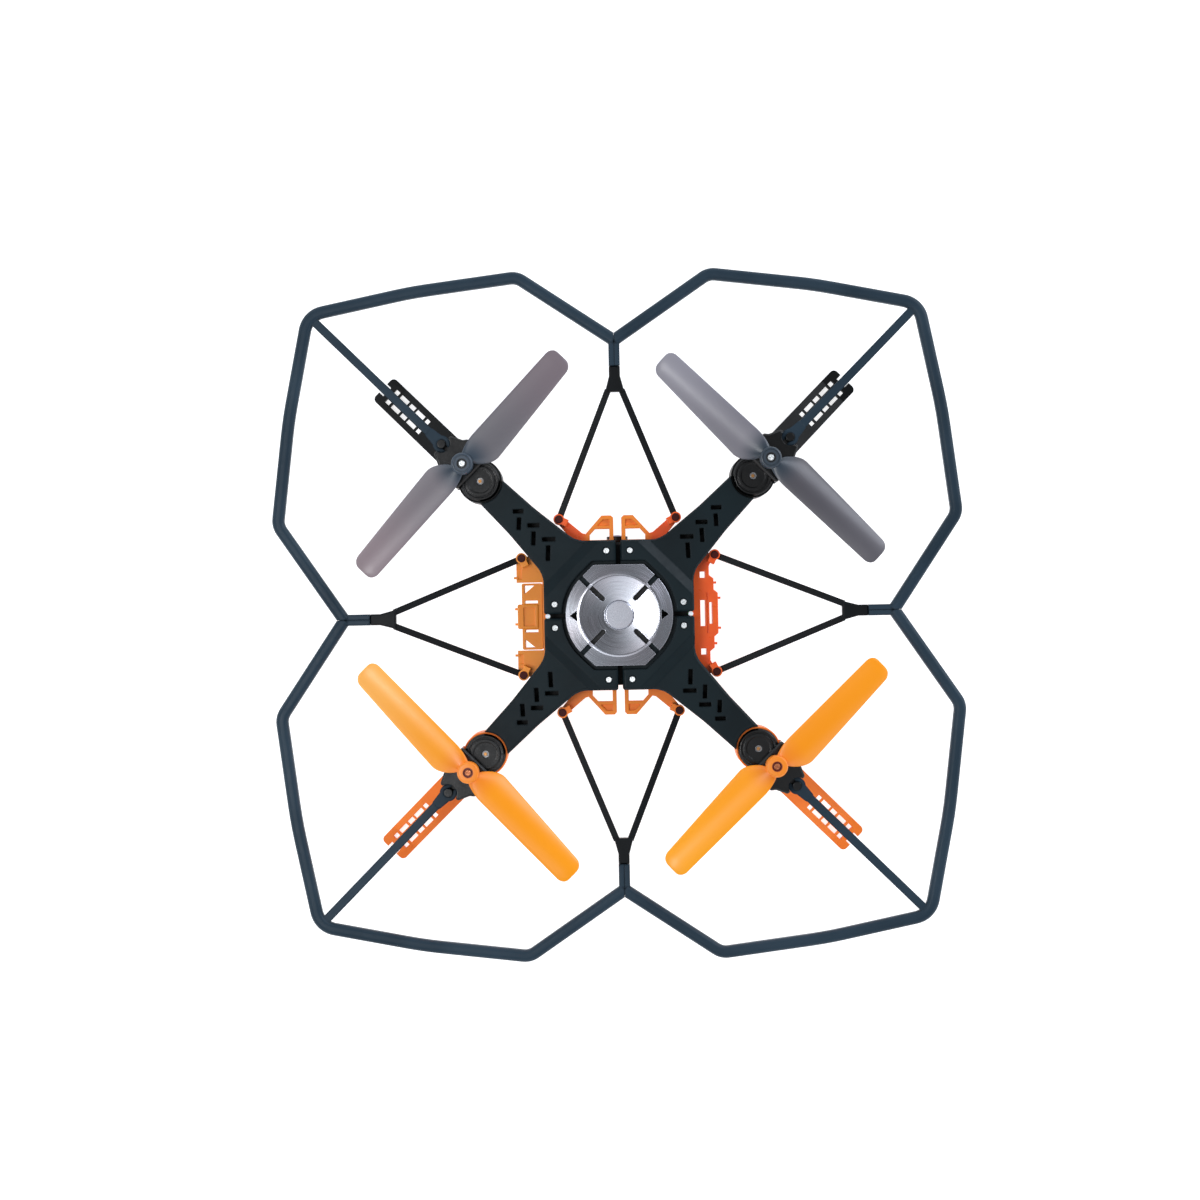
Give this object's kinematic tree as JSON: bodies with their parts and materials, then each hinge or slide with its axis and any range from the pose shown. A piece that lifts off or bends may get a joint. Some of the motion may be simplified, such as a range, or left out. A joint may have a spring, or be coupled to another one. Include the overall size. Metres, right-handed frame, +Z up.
{
  "type": "racing drone",
  "caption": "Racing drone with geared rotors, lobed tube guard on V forks, slotted landing legs, slide-out battery and a tilting belly camera.",
  "frame": {"origin": "on the floor under the middle of the drone", "axes": "+Z up, +Y towards the front (the end with the grey propellers and the camera), +X to the drone's right"},
  "size_m": [0.3062, 0.3062, 0.0596],
  "materials": {
    "shell_black": "moulded ABS, fine grain",
    "leg_black": "moulded nylon, satin",
    "leg_orange": "moulded nylon, satin",
    "cover_black": "moulded nylon, satin",
    "motor_steel": "nickel-plated can",
    "brass": "hobbed brass",
    "gear_white": "moulded acetal",
    "shaft_steel": "ground steel",
    "propeller_silver": "moulded polycarbonate, smoke tint",
    "propeller_grey": "moulded polycarbonate, smoke tint",
    "propeller_amber": "moulded polycarbonate",
    "propeller_orange": "moulded polycarbonate",
    "screw_steel": "zinc-plated",
    "guard_blue_grey": "moulded nylon, satin",
    "fork_black": "moulded nylon, satin",
    "hull_orange": "moulded ABS",
    "deck_black": "moulded ABS",
    "cap_silver": "brushed and anodised",
    "board_black": "solder mask",
    "battery_orange": "moulded ABS",
    "cell_foil": "laminated foil pouch",
    "camera_black": "moulded ABS",
    "lens_glass": "coated glass",
    "switch_black": "moulded nylon",
    "pin_maroon": "moulded nylon",
    "light_clear": "clear moulded acrylic",
    "lead_black": "silicone insulation"
  },
  "bodies": {
    "airframe": {"arm_shell_front_right": "shell_black", "leg_front_right": "leg_black", "shaft_cover_front_right": "cover_black", "motor_front_right": "motor_steel", "guard_hoop_front_right": "guard_blue_grey", "arm_shell_front_left": "shell_black", "leg_front_left": "leg_black", "shaft_cover_front_left": "cover_black", "motor_front_left": "motor_steel", "guard_hoop_front_left": "guard_blue_grey", "arm_shell_rear_left": "shell_black", "leg_rear_left": "leg_orange", "shaft_cover_rear_left": "cover_black", "motor_rear_left": "motor_steel", "guard_hoop_rear_left": "guard_blue_grey", "arm_shell_rear_right": "shell_black", "leg_rear_right": "leg_orange", "shaft_cover_rear_right": "cover_black", "motor_rear_right": "motor_steel", "guard_hoop_rear_right": "guard_blue_grey", "guard_fork_right": "fork_black", "guard_fork_front": "fork_black", "guard_fork_left": "fork_black", "guard_fork_rear": "fork_black", "lower_hull": "hull_orange", "centre_deck": "deck_black", "centre_cap": "cap_silver", "main_board": "board_black", "camera_bracket": "deck_black", "shell_screws": "screw_steel", "shaft_bearings": "shaft_steel", "guard_pins": "pin_maroon", "status_lights": "light_clear", "motor_leads": "lead_black", "motor_caps": "cover_black"},
    "rotor_front_right": {"propeller_front_right": "propeller_silver", "prop_screw_front_right": "screw_steel", "prop_shaft_front_right": "shaft_steel", "spur_gear_front_right": "gear_white"},
    "motor_spindle_front_right": {"pinion_front_right": "brass"},
    "rotor_front_left": {"propeller_front_left": "propeller_grey", "prop_screw_front_left": "screw_steel", "prop_shaft_front_left": "shaft_steel", "spur_gear_front_left": "gear_white"},
    "motor_spindle_front_left": {"pinion_front_left": "brass"},
    "rotor_rear_left": {"propeller_rear_left": "propeller_amber", "prop_screw_rear_left": "screw_steel", "prop_shaft_rear_left": "shaft_steel", "spur_gear_rear_left": "gear_white"},
    "motor_spindle_rear_left": {"pinion_rear_left": "brass"},
    "rotor_rear_right": {"propeller_rear_right": "propeller_orange", "prop_screw_rear_right": "screw_steel", "prop_shaft_rear_right": "shaft_steel", "spur_gear_rear_right": "gear_white"},
    "motor_spindle_rear_right": {"pinion_rear_right": "brass"},
    "battery": {"battery_case": "battery_orange", "battery_cell": "cell_foil"},
    "camera": {"camera_body": "camera_black", "camera_lens": "lens_glass"},
    "switch": {"power_switch": "switch_black"}
  },
  "joints": [
    {"name": "rotor_spin_front_right", "type": "hinge", "parent": "airframe", "child": "rotor_front_right", "pos_m": [0.06774, 0.06774, 0.03], "axis": [0, 0, 1], "continuous": true},
    {"name": "spindle_spin_front_right", "type": "hinge", "parent": "airframe", "child": "motor_spindle_front_right", "pos_m": [0.06053, 0.06053, 0.03], "axis": [0, 0, 1], "continuous": true},
    {"name": "rotor_spin_front_left", "type": "hinge", "parent": "airframe", "child": "rotor_front_left", "pos_m": [-0.06774, 0.06774, 0.03], "axis": [0, 0, 1], "continuous": true},
    {"name": "spindle_spin_front_left", "type": "hinge", "parent": "airframe", "child": "motor_spindle_front_left", "pos_m": [-0.06053, 0.06053, 0.03], "axis": [0, 0, 1], "continuous": true},
    {"name": "rotor_spin_rear_left", "type": "hinge", "parent": "airframe", "child": "rotor_rear_left", "pos_m": [-0.06774, -0.06774, 0.03], "axis": [0, 0, 1], "continuous": true},
    {"name": "spindle_spin_rear_left", "type": "hinge", "parent": "airframe", "child": "motor_spindle_rear_left", "pos_m": [-0.06053, -0.06053, 0.03], "axis": [0, 0, 1], "continuous": true},
    {"name": "rotor_spin_rear_right", "type": "hinge", "parent": "airframe", "child": "rotor_rear_right", "pos_m": [0.06774, -0.06774, 0.03], "axis": [0, 0, 1], "continuous": true},
    {"name": "spindle_spin_rear_right", "type": "hinge", "parent": "airframe", "child": "motor_spindle_rear_right", "pos_m": [0.06053, -0.06053, 0.03], "axis": [0, 0, 1], "continuous": true},
    {"name": "battery_slide", "type": "slide", "parent": "airframe", "child": "battery", "axis": [-1, 0, 0], "range_m": [0, 0.05]},
    {"name": "camera_tilt", "type": "hinge", "parent": "airframe", "child": "camera", "pos_m": [0, 0.026, 0.0114], "axis": [1, 0, 0], "range_deg": [-90, 30]},
    {"name": "switch_slide", "type": "slide", "parent": "airframe", "child": "switch", "axis": [1, 0, 0], "range_m": [0, 0.0034]}
  ],
  "couplings": [
    {"joint": "spindle_spin_front_right", "follows": "rotor_spin_front_right", "ratio": -4.6667},
    {"joint": "spindle_spin_front_left", "follows": "rotor_spin_front_left", "ratio": -4.6667},
    {"joint": "spindle_spin_rear_left", "follows": "rotor_spin_rear_left", "ratio": -4.6667},
    {"joint": "spindle_spin_rear_right", "follows": "rotor_spin_rear_right", "ratio": -4.6667}
  ]
}
